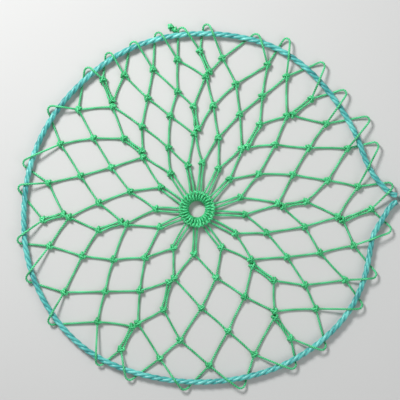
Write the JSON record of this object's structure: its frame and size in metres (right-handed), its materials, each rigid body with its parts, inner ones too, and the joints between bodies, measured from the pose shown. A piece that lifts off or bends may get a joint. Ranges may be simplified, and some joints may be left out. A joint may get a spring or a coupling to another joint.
{
  "type": "knotted net",
  "caption": "Round hand-knotted twine net with a centre eye and a draw rope threaded through its edge loops, folding along two lines.",
  "frame": {"origin": "centre of the eye, at the middle of its thickness", "axes": "+Z out of the face that is up as the net lies flat, +X towards the beak where the draw rope's ends meet, less 3 degrees"},
  "size_m": [0.7091, 0.6301, 0.022],
  "materials": {
    "mesh_twine": "laid polyethylene twine, semi-gloss",
    "knots": "knotted polyethylene twine, semi-gloss",
    "edge_loops": "laid polyethylene twine, semi-gloss",
    "eye_hitches": "tightly hitched polyethylene twine",
    "eye_core": "rope ring, hidden",
    "draw_rope": "three-strand laid rope, semi-gloss"
  },
  "bodies": {
    "middle": {"bottom_draw_rope": "draw_rope", "bottom_edge_loops": "edge_loops", "eye_core": "eye_core", "eye_hitches": "eye_hitches", "eye_mesh": "mesh_twine", "middle_inner_doubled_strands": "mesh_twine", "middle_knots_row_1": "knots", "middle_knots_row_2": "knots", "middle_knots_row_3": "knots", "middle_knots_row_4": "knots", "middle_knots_row_5": "knots", "middle_mesh_row_2": "mesh_twine", "middle_mesh_row_3": "mesh_twine", "middle_mesh_row_4": "mesh_twine", "middle_mesh_row_5": "mesh_twine", "middle_outer_doubled_strands": "mesh_twine", "top_draw_rope": "draw_rope", "top_edge_loops": "edge_loops", "twine_end_knot": "knots"},
    "right_side": {"right_draw_rope": "draw_rope", "right_edge_loops": "edge_loops", "right_inner_doubled_strands": "mesh_twine", "right_knots_row_3": "knots", "right_knots_row_4": "knots", "right_knots_row_5": "knots", "right_mesh_row_3": "mesh_twine", "right_mesh_row_4": "mesh_twine", "right_mesh_row_5": "mesh_twine", "right_outer_doubled_strands": "mesh_twine", "rope_joining_knot": "draw_rope", "rope_tails": "draw_rope"},
    "left_side": {"left_draw_rope": "draw_rope", "left_edge_loops": "edge_loops", "left_knots_row_4": "knots", "left_knots_row_5": "knots", "left_mesh_row_4": "mesh_twine", "left_mesh_row_5": "mesh_twine", "left_outer_doubled_strands": "mesh_twine"}
  },
  "joints": [
    {"name": "right_fold", "type": "hinge", "parent": "middle", "child": "right_side", "pos_m": [0.1745, 0, 0.0125], "axis": [0, -1, 0], "range_deg": [0, 165]},
    {"name": "left_fold", "type": "hinge", "parent": "middle", "child": "left_side", "pos_m": [-0.1875, 0, 0.0125], "axis": [0, 1, 0], "range_deg": [0, 165]}
  ]
}
